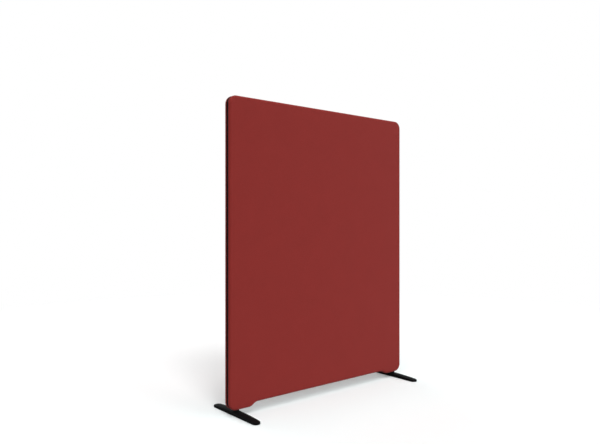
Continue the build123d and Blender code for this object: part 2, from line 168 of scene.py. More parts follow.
@dataclass(frozen=True)
class PanelShape:
    """The panel's sizes and the curve of its edge, the same as the construction's."""

    half_width: float
    top: float
    leg_height: float
    half_depth: float
    corner_radius: float = 41 * MM
    recess_height: float = 47 * MM
    leg_width: float = 112 * MM
    ogee_radius: float = 42 * MM
    roll_radius: float = 10 * MM
    fabric: float = 1.2 * MM
    hem_width: float = 4 * MM
    half_gap: float = 8 * MM
    zip_end_height: float = 75 * MM

    @property
    def middle(self) -> Pair:
        """The face's middle, as (x, z)."""
        return 0.0, (self.top + self.recess_height) / 2

    @property
    def tape_edge(self) -> float:
        """How far the tapes reach from the middle plane, under the hems."""
        return self.half_gap + self.hem_width

    def edge(self, inset: float = 0.0) -> BentLine:
        """Draws the closed curve of the edge, clockwise from the middle of the top seen from the front.

        Half of it is the top, a corner, the side, a corner, the leg's foot, the swell and the hollow of the
        ogee, and the recess; the other half is the same backwards.

        Args:
            inset: How far the curve lies inside the panel's outline.

        Returns:
            The curve in (x, z), whose left normal points out of the panel.
        """
        rise = self.recess_height - self.leg_height
        turn = acos((2 * self.ogee_radius - rise) / (2 * self.ogee_radius))
        run = sqrt((2 * self.ogee_radius) ** 2 - (2 * self.ogee_radius - rise) ** 2)
        corner, swell = self.corner_radius - inset, self.ogee_radius - inset
        hollow = self.ogee_radius + inset
        half = [
            (self.half_width - self.corner_radius, 0.0),
            (corner * pi / 2, -1 / corner),
            (self.top - self.leg_height - 2 * self.corner_radius, 0.0),
            (corner * pi / 2, -1 / corner),
            (self.leg_width - self.corner_radius, 0.0),
            (swell * turn, -1 / swell),
            (hollow * turn, 1 / hollow),
            (self.half_width - self.leg_width - run, 0.0),
        ]
        return BentLine((0.0, self.top - inset), 0.0, tuple(half + half[::-1]))

    def run_to_height(self, height: float, inset: float = 0.0) -> float:
        """Measures along edge(inset) from the top's middle down the right-hand side to a height.

        Args:
            height: The height on the side's straight stretch, or a little below it.
            inset: The curve's inset.

        Returns:
            The distance.
        """
        corner = (self.corner_radius - inset) * pi / 2
        return self.half_width - self.corner_radius + corner + self.top - self.corner_radius - height

    def even_runs(self, pitch: float) -> Array:
        """Distances round the whole edge, evenly spaced at about a pitch."""
        length = self.edge().length
        return np.linspace(0, length, round(length / pitch), endpoint=False)

    def around(self, run: Array, inset: Array, level: Array) -> Array:
        """Carries a section round the edge: a point of inset i at edge point p with normal n lies at p - i n.

        Args:
            run: Distances round the edge, (m,). Those before the start count back from the end.
            inset: How deep the section's points lie below the outline, (n,) or (n, m).
            level: Their Y, one for all, (n,) or (n, m).

        Returns:
            Points, (n, m, 3).
        """
        edge = self.edge()
        places, _, normals = edge.at(np.mod(run, edge.length))
        return upright(places[None] - as_column(inset)[..., None] * normals[None], as_column(level))

    def drawn_in(self, run: Array, inset: float, shares: Array) -> Array:
        """Draws a ring of the face in towards the face's middle c: q = c + (p - c) (1 - share).

        Args:
            run: Distances round the edge, (m,).
            inset: How far the ring lies inside the outline.
            shares: How far each copy is drawn in, (n,).

        Returns:
            Places in (x, z), (n, m, 2).
        """
        places, _, normals = self.edge().at(run)
        middle = np.array(self.middle)
        return middle + (places - inset * normals - middle)[None] * (1 - shares[:, None, None])


def as_column(values: Array | float) -> Array:
    """A section's values as one column, or a whole grid as it is."""
    return values if np.ndim(values) > 1 else np.reshape(values, (-1, 1))


def upright(flat: Array, y: Array | float) -> Array:
    """Points from their places in (x, z) and their Y."""
    return np.stack([flat[..., 0], np.broadcast_to(y, flat.shape[:-1]), flat[..., 1]], -1)


def round_angles(count: int) -> Array:
    """Angles spread evenly round a circle."""
    return np.arange(count) * 2 * pi / count


def waves(u: Array, v: Array, length: float) -> Array:
    """Makes a calm, patternless ripple from -1 to 1: four sine waves of unlike directions, averaged.

    Args:
        u: First coordinates.
        v: Second coordinates.
        length: The length of the plainest wave.

    Returns:
        Heights.
    """
    turns = ((1.0, 0.31, 0.4), (-0.43, 0.87, 1.9), (0.71, -1.23, 3.3), (1.57, 0.52, 5.1))
    return sum(np.sin(2 * pi * (a * u + b * v) / length + c) for a, b, c in turns) / len(turns)


def smooth_share(value: Array) -> Array:
    """Goes from 0 to 1 as value does, level at both ends: 3 v^2 - 2 v^3."""
    held = np.clip(value, 0, 1)
    return held * held * (3 - 2 * held)


# ---- meshes ---------------------------------------------------------------------------------------------------


def placed(name: str, data: bpy.types.ID) -> Piece:
    """Makes an object and puts it in the scene.

    Args:
        name: Its name.
        data: Its mesh, lamp or camera.

    Returns:
        The object, at the origin.
    """
    made = bpy.data.objects.new(name, data)
    bpy.context.scene.collection.objects.link(made)
    return made


@dataclass
class Skin:
    """Points and faces of one piece, gathered from grids before they become a mesh."""

    points: list[Array] = field(default_factory=list)
    flat: list[Array] = field(default_factory=list)
    faces: list[Array] = field(default_factory=list)
    count: int = 0

    def add_points(self, points: Array, flat: Array | None = None) -> Array:
        """Adds points.

        Args:
            points: A grid of points, (..., 3).
            flat: Their places in the flat cloth, (..., 2).

        Returns:
            The points' numbers, in the same grid.
        """
        plain = points.reshape(-1, 3)
        self.points.append(plain)
        self.flat.append(np.zeros((len(plain), 2)) if flat is None else flat.reshape(-1, 2))
        numbers = self.count + np.arange(len(plain)).reshape(points.shape[:-1])
        self.count += len(plain)
        return numbers

    def add_strip(self, numbers: Array, wrap_rows: bool = False, wrap_columns: bool = False) -> None:
        """Joins a grid with four-sided faces.

        Args:
            numbers: The points' numbers, (..., rows, columns).
            wrap_rows: Joins the last row to the first.
            wrap_columns: Joins the last column to the first.
        """
        if wrap_rows:
            numbers = np.concatenate([numbers, numbers[..., :1, :]], -2)
        if wrap_columns:
            numbers = np.concatenate([numbers, numbers[..., :1]], -1)
        quads = np.stack([
            numbers[..., :-1, :-1], numbers[..., :-1, 1:], numbers[..., 1:, 1:], numbers[..., 1:, :-1],
        ], -1)
        self.faces.append(quads.reshape(-1, 4))

    def add_fan(self, ring: Array, pole: int, after: bool) -> None:
        """Closes a ring on one point with triangles.

        Args:
            ring: The numbers round the ring, (m,).
            pole: The point's number.
            after: Whether the pole follows the ring in its grid's order.
        """
        following = np.roll(ring, -1)
        centre = np.full_like(ring, pole)
        order = [ring, following, centre] if after else [following, ring, centre]
        self.faces.append(np.stack(order, -1))

    def add_caps(self, numbers: Array) -> None:
        """Closes the rings at the end and the start of the second axis with one many-sided face each.

        Args:
            numbers: The numbers of a tube, (section, path), or of many bodies, (bodies, layers, round).
        """
        for rings, way in ((numbers[:, -1], 1), (numbers[:, 0], -1)):
            self.faces.append(rings.reshape(-1, rings.shape[-1])[:, ::way])

    def add_tube(self, points: Array, flat: Array | None = None) -> None:
        """Adds a closed section carried along a path, and closes both ends.

        Args:
            points: Points (section, path, 3).
            flat: Their places in the flat cloth.
        """
        numbers = self.add_points(points, flat)
        self.add_strip(numbers, wrap_rows=True)
        self.add_caps(numbers)

    def add_bodies(self, points: Array) -> None:
        """Adds many small bodies of closed layers, each capped at its first and last.

        Args:
            points: Points (bodies, layers, round, 3).
        """
        numbers = self.add_points(points)
        self.add_strip(numbers, wrap_columns=True)
        self.add_caps(numbers)

    def add_tray(self, points: Array, poles: Array, flat: Array | None = None,
                 flat_poles: Array | None = None) -> None:
        """Adds rings from one side's middle round the rim to the other's, and closes each on a pole.

        Args:
            points: Points (rings, round, 3).
            poles: The poles of the first and the last ring, (2, 3).
            flat: The points' places in the flat cloth.
            flat_poles: The poles' places there.
        """
        numbers = self.add_points(points, flat)
        self.add_strip(numbers, wrap_columns=True)
        first, last = self.add_points(poles, flat_poles)
        self.add_fan(numbers[0], first, after=False)
        self.add_fan(numbers[-1], last, after=True)

    def volume(self, points: Array) -> float:
        """Sums the signed volume inside the faces over fans of triangles, each a . (b x c) / 6.

        Args:
            points: All points, (n, 3).

        Returns:
            The volume, below zero where the faces point inward.
        """
        total = 0.0
        for group in self.faces:
            corner = points[group]
            for step in range(1, group.shape[1] - 1):
                a, b, c = corner[:, 0], corner[:, step], corner[:, step + 1]
                total += float((a * np.cross(b, c)).sum()) / 6
        return total

    def mesh(self, name: str, finish: Material, smooth: float) -> bpy.types.Mesh:
        """Makes the mesh, with its faces turned outward.

        Args:
            name: The mesh's name.
            finish: Its material.
            smooth: Edges sharper than this many degrees stay sharp.

        Returns:
            The mesh.
        """
        points = np.concatenate(self.points).astype(np.float32)
        groups = self.faces if self.volume(points.astype(float)) >= 0 else [g[:, ::-1] for g in self.faces]
        loops = np.concatenate([g.ravel() for g in groups]).astype(np.int32)
        sizes = np.concatenate([np.full(len(g), g.shape[1]) for g in groups]).astype(np.int32)
        mesh = bpy.data.meshes.new(name)
        mesh.vertices.add(len(points))
        mesh.vertices.foreach_set("co", points.ravel())
        mesh.loops.add(len(loops))
        mesh.loops.foreach_set("vertex_index", loops)
        mesh.polygons.add(len(sizes))
        starts = np.concatenate([[0], np.cumsum(sizes)[:-1]]).astype(np.int32)
        mesh.polygons.foreach_set("loop_start", starts)
        mesh.polygons.foreach_set("loop_total", sizes)
        flat = np.concatenate(self.flat)[loops].astype(np.float32)
        mesh.uv_layers.new(name="flat").data.foreach_set("uv", flat.ravel())
        mesh.materials.append(finish)
        mesh.update(calc_edges=True)
        mesh.validate()
        mesh.shade_smooth()
        mesh.set_sharp_from_angle(angle=radians(smooth))
        return mesh

    def piece(self, name: str, finish: Material, body: str | None, smooth: float = 40.0) -> Piece:
        """Makes the object.

        Args:
            name: The piece's name.
            finish: Its material.
            body: The body that it rides on, or None for a tool that is taken away again.
            smooth: Edges sharper than this many degrees stay sharp.

        Returns:
            The object at the origin, with its place in its mesh.
        """
        made = placed(name, self.mesh(name, finish, smooth))
        if body:
            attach(made, body)
            LOG.info("%s: %d points, %d faces", name, self.count, len(made.data.polygons))
        return made


# ---- finishes -------------------------------------------------------------------------------------------------


@dataclass(frozen=True)
class Patches:
    """Soft noise about 0.5: its patches to the metre, finer layers, their strength, and how it bends itself."""

    scale: float
    detail: float = 2.0
    rough: float = 0.5
    warp: float = 0.0


@dataclass(frozen=True)
class ScreenCurve:
    """The usual curve from a value on screen to the light that it stands for: a straight foot, then a power."""

    white: int = 255
    foot: int = 10
    slope: float = 12.92
    offset: float = 0.055
    power: float = 2.4

    def light(self, value: int) -> float:
        """Works out the light: v / slope in the foot, and else ((v + offset) / (1 + offset)) ^ power.

        Args:
            value: The value on screen, whose share of white is v.

        Returns:
            The light, 0 to 1.
        """
        share = value / self.white
        if value <= self.foot:
            return share / self.slope
        return ((share + self.offset) / (1 + self.offset)) ** self.power


def lit(red: int, green: int, blue: int) -> Colour:
    """A colour as seen on screen, as the light that it stands for."""
    return tuple(ScreenCurve().light(c) for c in (red, green, blue))


class Graph:
    """The nodes of a material or of the world, with short calls for those that the finishes share."""

    def __init__(self, owner: Material | bpy.types.World) -> None:
        """Empties the owner's node tree, to start afresh.

        Args:
            owner: The material or world.
        """
        owner.use_nodes = True
        self.owner = owner
        self.tree = owner.node_tree
        self.tree.nodes.clear()

    @classmethod
    def named(cls, name: str) -> "Graph":
        """Starts an empty material."""
        return cls(bpy.data.materials.new(name))

    def node(self, kind: str, settings: dict | None = None, inputs: dict | None = None) -> bpy.types.Node:
        """Adds a node.

        Args:
            kind: The node's type.
            settings: Its own properties.
            inputs: Values, or sockets to link, by input name or number.

        Returns:
            The node.
        """
        made = self.tree.nodes.new(kind)
        for key, value in (settings or {}).items():
            setattr(made, key, value)
        for key, value in (inputs or {}).items():
            if isinstance(value, Socket):
                self.tree.links.new(value, made.inputs[key])
            else:
                made.inputs[key].default_value = value
        return made

    def math(self, operation: str, a: Value, b: Value = 0.0) -> Socket:
        """One sum on two numbers."""
        return self.node("ShaderNodeMath", {"operation": operation}, {0: a, 1: b}).outputs[0]

    def plus(self, a: Value, b: Value) -> Socket:
        """Two numbers added."""
        return self.math("ADD", a, b)

    def times(self, a: Value, b: Value) -> Socket:
        """Two numbers multiplied."""
        return self.math("MULTIPLY", a, b)

    def magnitude(self, a: Value) -> Socket:
        """A number without its sign."""
        return self.math("ABSOLUTE", a)

    def blend(self, share: Value, a: Value, b: Value) -> Socket:
        """The number a where share is 0, and b where it is 1."""
        return self.node("ShaderNodeMix", {"data_type": "FLOAT"}, {0: share, 2: a, 3: b}).outputs[0]

    def tint(self, share: Value, low: Colour | Socket, high: Colour | Socket) -> Socket:
        """The colour low where share is 0, and high where it is 1."""
        low, high = (c if isinstance(c, Socket) else (*c, 1) for c in (low, high))
        return self.node("ShaderNodeMix", {"data_type": "RGBA"}, {0: share, 6: low, 7: high}).outputs[2]

    def shades(self, share: Value, colour: Colour, factors: Pair) -> Socket:
        """A colour times the first factor where share is 0, and times the second where it is 1."""
        return self.tint(share, *(tuple(factor * c for c in colour) for factor in factors))

    def place(self) -> Socket:
        """The point in the part's frame."""
        return self.node("ShaderNodeTexCoord").outputs["Object"]

    def cloth(self) -> Socket:
        """The point in the flat cloth, in metres."""
        return self.node("ShaderNodeUVMap", {"uv_map": "flat"}).outputs[0]

    def scaled(self, vector: Socket, scale: tuple[float, float, float]) -> Socket:
        """A point with each coordinate scaled."""
        return self.node("ShaderNodeMapping", None, {"Vector": vector, "Scale": scale}).outputs[0]

    def split(self, vector: Socket) -> tuple[Socket, Socket]:
        """A point's first two coordinates."""
        outputs = self.node("ShaderNodeSeparateXYZ", None, {0: vector}).outputs
        return outputs[0], outputs[1]

    def noise(self, vector: Socket, patches: Patches) -> Socket:
        """Makes soft noise.

        Args:
            vector: The point.
            patches: What the noise is like.

        Returns:
            The noise.
        """
        return self.node("ShaderNodeTexNoise", None, {
            "Vector": vector, "Scale": patches.scale, "Detail": patches.detail, "Roughness": patches.rough,
            "Distortion": patches.warp}).outputs[0]

    def bump(self, height: Socket, distance: float, strength: float) -> Socket:
        """The normal over a height map."""
        return self.node("ShaderNodeBump", None, {
            "Height": height, "Distance": distance, "Strength": strength}).outputs[0]

    def step(self, value: Socket, low: float, high: float) -> Socket:
        """A smooth step from 0 at low to 1 at high."""
        return self.node("ShaderNodeMapRange", {"interpolation_type": "SMOOTHSTEP"}, {
            0: value, 1: low, 2: high}).outputs[0]

    def backdrop_rays(self) -> Socket:
        """Picks the rays that show the background.

        Returns:
            1 for rays from the camera, off gloss or through glass, and otherwise 0.
        """
        path = self.node("ShaderNodeLightPath").outputs
        straight = self.math("MAXIMUM", path["Is Camera Ray"], path["Is Glossy Ray"])
        return self.math("MAXIMUM", straight, path["Is Transmission Ray"])

    def surface(self, inputs: dict) -> Material:
        """Ends the material in one surface shader.

        Args:
            inputs: The shader's inputs.

        Returns:
            The material.
        """
        shader = self.node("ShaderNodeBsdfPrincipled", None, inputs)
        self.node("ShaderNodeOutputMaterial", None, {"Surface": shader.outputs[0]})
        return self.owner


@dataclass(frozen=True)
class WovenCloth:
    """Plain woven cloth: warp and weft threads that cross over and under, each with its own shade."""

    name: str
    colour: Colour
    pitch: float = 1.15 * MM
    relief: float = 0.32 * MM
    bump: float = 0.8
    crown: float = 0.6
    thread_across: float = 0.9
    thread_along: float = 0.03
    thread_noise: Patches = Patches(1.0, 3.0, 0.6)
    thread_tint: float = 0.6
    cloud_noise: Patches = Patches(9.0, 3.0, 0.55)
    cloud_tint: float = 0.15
    # Painted shade: how much darker the weave's grooves and paler its crowns are painted.
    painted_groove_shade: float = 0.25
    fibre_noise: Patches = Patches(5200.0, 2.0, 0.7)
    fibre_height: float = 0.35
    shade_spread: float = 0.34
    roughness: float = 0.92
    gloss: float = 0.2
    sheen: float = 0.18
    sheen_roughness: float = 0.45
    sheen_gain: float = 2.2
    sheen_lift: float = 0.25

    def build(self) -> Material:
        """Builds the material on the flat cloth's coordinates, in metres.

        A thread's round is sin(pi f) across it, f being the share of a pitch. In cells whose numbers add up even
        the warp lies on top, and elsewhere the weft. The height is the top thread's round, raised at its middle:
        crown warp weft + (1 - crown) top. A thread's tone is noise drawn out along it, and the whole cloth's a
        slow, faint cloud. These and the height add up to the tint, each times its own weight; the height's part
        is painted shade, darker in the grooves between threads and paler on their crowns. The sheen's tint is
        sheen_gain c + sheen_lift for each part c of the colour.

        Returns:
            The material.
        """
        g = Graph.named(self.name)
        flat = g.cloth()
        across, along = g.split(g.scaled(flat, (1 / self.pitch, 1 / self.pitch, 1)))
        warp, weft = (g.math("SINE", g.times(g.math("FRACT", way), pi)) for way in (across, along))
        cells = g.plus(g.math("FLOOR", across), g.math("FLOOR", along))
        weft_up = g.math("FLOORED_MODULO", cells, 2.0)
        crown = g.times(g.times(warp, weft), self.crown)
        height = g.plus(crown, g.times(g.blend(weft_up, warp, weft), 1 - self.crown))
        close, far = self.thread_across / self.pitch, self.thread_along / self.pitch
        warp_shade, weft_shade = (
            g.noise(g.scaled(flat, (*ways, 1)), self.thread_noise) for ways in ((close, far), (far, close)))
        threads = g.times(g.blend(weft_up, warp_shade, weft_shade), self.thread_tint)
        cloudy = g.times(g.noise(flat, self.cloud_noise), self.cloud_tint)
        # The height's part of the tint is painted shade: darker in the weave's grooves, paler on the threads' crowns.
        depth = g.plus(g.plus(threads, cloudy), g.times(height, self.painted_groove_shade))
        fibre = g.times(g.noise(flat, self.fibre_noise), self.fibre_height)
        return g.surface({
            "Base Color": g.shades(depth, self.colour, (1 - self.shade_spread, 1 + self.shade_spread)),
            "Roughness": self.roughness,
            "Specular IOR Level": self.gloss,
            "Sheen Weight": self.sheen,
            "Sheen Roughness": self.sheen_roughness,
            "Sheen Tint": (*(min(1.0, self.sheen_gain * c + self.sheen_lift) for c in self.colour), 1),
            "Normal": g.bump(g.plus(height, fibre), self.relief, self.bump),
        })


@dataclass(frozen=True)
class RibbedTape:
    """Narrow woven tape: fine ribs across its length, crossed by finer warp threads."""

    name: str
    colour: Colour
    rib: float = 0.9 * MM
    warps_to_rib: int = 3
    warp_height: float = 0.5
    relief: float = 0.15 * MM
    bump: float = 0.8
    fluff: Patches = Patches(2600.0, 3.0, 0.6)
    tint_gain: float = 0.45
    shades: Pair = (0.5, 1.6)
    roughness: float = 0.85
    gloss: float = 0.03
    sheen: float = 0.01

    def build(self) -> Material:
        """Builds the material on the flat tape's coordinates.

        Ribs are |sin| of the run along the tape, and warp threads the same across it at a share of the pitch.
        The colour follows their height as painted shade, darker in the grooves and paler on the crests, plus fluff.

        Returns:
            The material.
        """
        g = Graph.named(self.name)
        flat = g.cloth()
        along, across = g.split(g.scaled(flat, (pi / self.rib, self.warps_to_rib * pi / self.rib, 1)))
        rib, warp = (g.magnitude(g.math("SINE", way)) for way in (along, across))
        height = g.plus(rib, g.times(warp, self.warp_height))
        # Painted shade: the rib height darkens the grooves and lightens the crests; the fluff adds a random tone.
        share = g.times(g.plus(height, g.noise(flat, self.fluff)), self.tint_gain)
        return g.surface({
            "Base Color": g.shades(share, self.colour, self.shades),
            "Roughness": self.roughness,
            "Specular IOR Level": self.gloss,
            "Sheen Weight": self.sheen,
            "Normal": g.bump(height, self.relief, self.bump),
        })


@dataclass(frozen=True)
class SpunThread:
    """Sewing thread: two plies twisted round each other."""

    name: str
    colour: Colour
    twist_scale: float = 900.0
    fluff: Patches = Patches(4000.0, 2.0, 0.6)
    relief: float = 0.05 * MM
    bump: float = 0.6
    shades: Pair = (0.7, 1.4)
    roughness: float = 0.6
    sheen: float = 0.2

    def build(self) -> Material:
        """Builds the material, whose twist is a wave that runs slantwise through the thread.

        Its colour is the mean of twist and fluff; the twist's part is painted shade, darker in the grooves between
        the plies.

        Returns:
            The material.
        """
        g = Graph.named(self.name)
        place = g.place()
        twist = g.node("ShaderNodeTexWave", {"bands_direction": "DIAGONAL"}, {
            "Vector": place, "Scale": self.twist_scale}).outputs[1]
        # The twist's half of the colour is painted shade along the plies' grooves; the fluff's half is random tone.
        share = g.times(g.plus(twist, g.noise(place, self.fluff)), 0.5)
        return g.surface({
            "Base Color": g.shades(share, self.colour, self.shades),
            "Roughness": self.roughness,
            "Sheen Weight": self.sheen,
            "Normal": g.bump(twist, self.relief, self.bump),
        })


@dataclass(frozen=True)
class SoftFill:
    """Fibre wadding or pressed felt: tangled fibres, flecked with another shade."""

    name: str
    colour: Colour
    fleck: Colour
    fleck_share: float
    relief: float
    bump: float = 0.7
    fibres: Patches = Patches(420.0, 6.0, 0.7, 2.5)
    flecks: Patches = Patches(240.0)
    fleck_start: float = 0.75
    fleck_range: float = 0.5
    fleck_edge: float = 0.08
    shades: Pair = (0.8, 1.0)
    roughness: float = 0.95
    sheen: float = 0.3

    def build(self) -> Material:
        """Builds the material: fibres are strongly warped noise, and flecks the peaks of a second noise.

        The peaks are what rises over fleck_start less fleck_range times the flecks' share.

        Returns:
            The material.
        """
        g = Graph.named(self.name)
        place = g.place()
        fibres = g.noise(place, self.fibres)
        start = self.fleck_start - self.fleck_range * self.fleck_share
        picked = g.step(g.noise(place, self.flecks), start, start + self.fleck_edge)
        return g.surface({
            "Base Color": g.tint(picked, g.shades(fibres, self.colour, self.shades), self.fleck),
            "Roughness": self.roughness,
            "Sheen Weight": self.sheen,
            "Normal": g.bump(fibres, self.relief, self.bump),
        })


@dataclass(frozen=True)
class PlanedWood:
    """Planed timber: growth rings drawn out along the grain, fine pores and a soft satin."""

    name: str
    early: Colour
    late: Colour
    grain: Grain
    ring: float = 4.5 * MM
    ring_at_unit_scale: float = 0.3
    bend: float = 7.0
    bend_detail: float = 2.0
    bend_scale: float = 0.5
    late_power: float = 2.2
    pores: Patches = Patches(900.0, 4.0, 0.65)
    pore_tint: float = 0.25
    drift: Patches = Patches(14.0, 3.0)
    least_drift: float = 0.2
    relief: float = 0.12 * MM
    bump: float = 0.5
    roughness: float = 0.55
    gloss: float = 0.35

    def build(self) -> Material:
        """Builds the material: late wood is a bent sine's narrow peaks, drawn out along the grain with the pores.

        Returns:
            The material.
        """
        g = Graph.named(self.name)
        place = g.scaled(g.place(), self.grain.value)
        across = g.node("ShaderNodeTexWave", {"bands_direction": "Y"}, {
            "Vector": place, "Scale": self.ring_at_unit_scale / self.ring, "Distortion": self.bend,
            "Detail": self.bend_detail, "Detail Scale": self.bend_scale}).outputs[1]
        rings = g.math("POWER", across, self.late_power)
        pores = g.noise(place, self.pores)
        drift = g.plus(g.noise(place, self.drift), self.least_drift)
        share = g.plus(g.times(rings, drift), g.times(pores, self.pore_tint))
        return g.surface({
            "Base Color": g.tint(share, self.early, self.late),
            "Roughness": self.roughness,
            "Specular IOR Level": self.gloss,
            "Normal": g.bump(pores, self.relief, self.bump),
        })


@dataclass(frozen=True)
class PaintedCasting:
    """Powder coat or enamel on cast metal: a faint orange peel, with a slightly uneven satin."""

    name: str
    colour: Colour
    roughness: float
    peel: float = 0.9 * MM
    relief: float = 0.03 * MM
    gloss: float = 0.45
    coat: float = 0.0
    coat_roughness: float = 0.2
    peel_detail: float = 2.0
    peel_rough: float = 0.4
    bump: float = 0.6
    clouds: Patches = Patches(30.0, 3.0, 0.6)
    shades: Pair = (0.85, 1.2)
    uneven: float = 0.06

    def build(self) -> Material:
        """Builds the material: the peel is smooth noise of its size, and the satin varies with slower noise.

        Returns:
            The material.
        """
        g = Graph.named(self.name)
        place = g.place()
        slow = g.noise(place, self.clouds)
        peel = g.noise(place, Patches(1 / self.peel, self.peel_detail, self.peel_rough))
        return g.surface({
            "Base Color": g.shades(slow, self.colour, self.shades),
            "Roughness": g.blend(slow, self.roughness - self.uneven, self.roughness + self.uneven),
            "Specular IOR Level": self.gloss,
            "Coat Weight": self.coat,
            "Coat Roughness": self.coat_roughness,
            "Normal": g.bump(peel, self.relief, self.bump),
        })


@dataclass(frozen=True)
class MouldedPlastic:
    """Moulded plastic or rubber: a fine spark texture on an even colour."""

    name: str
    colour: Colour
    roughness: float
    texture: float = 0.35 * MM
    relief: float = 0.02 * MM
    gloss: float = 0.3
    texture_detail: float = 3.0
    texture_rough: float = 0.6
    bump: float = 0.6
    shades: Pair = (0.8, 1.25)
    uneven: float = 0.08

    def build(self) -> Material:
        """Builds the material, whose texture is fine noise that also breaks up the gloss.

        Returns:
            The material.
        """
        g = Graph.named(self.name)
        fine = g.noise(g.place(), Patches(1 / self.texture, self.texture_detail, self.texture_rough))
        return g.surface({
            "Base Color": g.shades(fine, self.colour, self.shades),
            "Roughness": g.blend(fine, self.roughness - self.uneven, self.roughness + self.uneven),
            "Specular IOR Level": self.gloss,
            "Normal": g.bump(fine, self.relief, self.bump),
        })


@dataclass(frozen=True)
class PlatedSteel:
    """Zinc plated steel: drawn marks along one way and cloudy patches of plating."""

    name: str
    colour: Colour
    marks: tuple[float, float, float] = (1.0, 14.0, 14.0)
    mark_noise: Patches = Patches(160.0, 4.0, 0.6)
    relief: float = 0.02 * MM
    bump: float = 0.6
    clouds: Patches = Patches(90.0, 3.0, 0.6)
    shades: Pair = (0.8, 1.0)
    roughness: Pair = (0.28, 0.45)

    def build(self) -> Material:
        """Builds the material: marks are noise drawn out one way, and clouds a slow noise in the roughness.

        Returns:
            The material.
        """
        g = Graph.named(self.name)
        place = g.place()
        clouds = g.noise(place, self.clouds)
        marks = g.noise(g.scaled(place, self.marks), self.mark_noise)
        return g.surface({
            "Base Color": g.shades(clouds, self.colour, self.shades),
            "Metallic": 1.0,
            "Roughness": g.blend(clouds, *self.roughness),
            "Normal": g.bump(marks, self.relief, self.bump),
        })


@dataclass
class Finishes:
    """Every finish of the screen, named as in the record where it has one slot for it.

    The frame's wood has a finish for each way of its grain, and the stitches' thread has one of its own.
    """

    red: Colour = lit(135, 42, 38)
    black: Colour = lit(12, 12, 13)

    def __post_init__(self) -> None:
        """Builds the materials."""
        pine, pine_late = lit(222, 196, 152), lit(186, 140, 88)
        beech, beech_late = lit(214, 176, 130), lit(176, 128, 84)
        self.cover = WovenCloth("cover_fabric", self.red).build()
        self.thread = SpunThread("cover_thread", lit(104, 36, 36)).build()
        self.tape = RibbedTape("zip_tape", lit(9, 9, 10)).build()
        self.teeth = MouldedPlastic("zip_teeth", lit(11, 11, 12), roughness=0.5, gloss=0.06).build()
        self.enamel = PaintedCasting(
            "zip_metal", lit(26, 26, 27), roughness=0.3, peel=0.5 * MM, relief=0.01 * MM, coat=0.3).build()
        self.wadding = SoftFill(
            "wadding", lit(236, 234, 226), lit(250, 250, 246), fleck_share=0.4, relief=0.8 * MM).build()
        self.felt = SoftFill(
            "absorber_felt", lit(150, 150, 148), lit(96, 108, 128), fleck_share=0.3, relief=0.5 * MM).build()
        self.level_wood = PlanedWood("frame_wood_level", pine, pine_late, Grain.ALONG_X).build()
        self.upright_wood = PlanedWood("frame_wood_upright", pine, pine_late, Grain.ALONG_Z).build()
        self.tenon_wood = PlanedWood("tenon_wood", beech, beech_late, Grain.ALONG_X, ring=2 * MM).build()
        self.foot = PaintedCasting("foot_paint", self.black, roughness=0.62, gloss=0.03).build()
        self.spacer = MouldedPlastic("spacer_plastic", lit(13, 13, 14), roughness=0.5, gloss=0.06).build()
        self.plate = PlatedSteel("plate_steel", lit(196, 198, 200)).build()
        self.fastener = PlatedSteel("fastener_steel", lit(190, 190, 186), marks=(6.0, 6.0, 1.0)).build()
        self.rubber = MouldedPlastic(
            "glide_rubber", lit(34, 34, 34), roughness=0.75, texture=0.8 * MM, relief=0.05 * MM).build()


# ---- sub-assemblies -------------------------------------------------------------------------------------------


def stretched(made: Piece, flat: Pair) -> None:
    """Logs the size that a piece of cloth, held taut by its seams, was cut to.

    Args:
        made: The piece.
        flat: The width and length that it was cut to.
    """
    LOG.info("%s cut %.4f by %.3f m", made.name, *flat)


@dataclass
class FaceLayer:
    """A layer that covers one face of the board and rolls over its edge."""

    shape: PanelShape
    face: Face
    body: str

    def behind(self, flat: Array, depth: Array | float) -> Array:
        """Points at places in (x, z), at depths behind the panel's face."""
        return upright(flat, self.face.value * (self.shape.half_depth - depth))

    def poles(self, *depths: float) -> Array:
        """The face's middle at each depth, (n, 3)."""
        return self.behind(np.array([self.shape.middle] * len(depths)), np.array(depths))

    def rolled(self, run: Array, profile: Array) -> Array:
        """Carries a profile round the edge.

        Args:
            run: Distances round the edge, (m,).
            profile: Rows of (inset, depth behind the face), (n, 2).

        Returns:
            Points, (n, m, 3).
        """
        return self.shape.around(run, profile[:, 0], self.face.value * (self.shape.half_depth - profile[:, 1]))


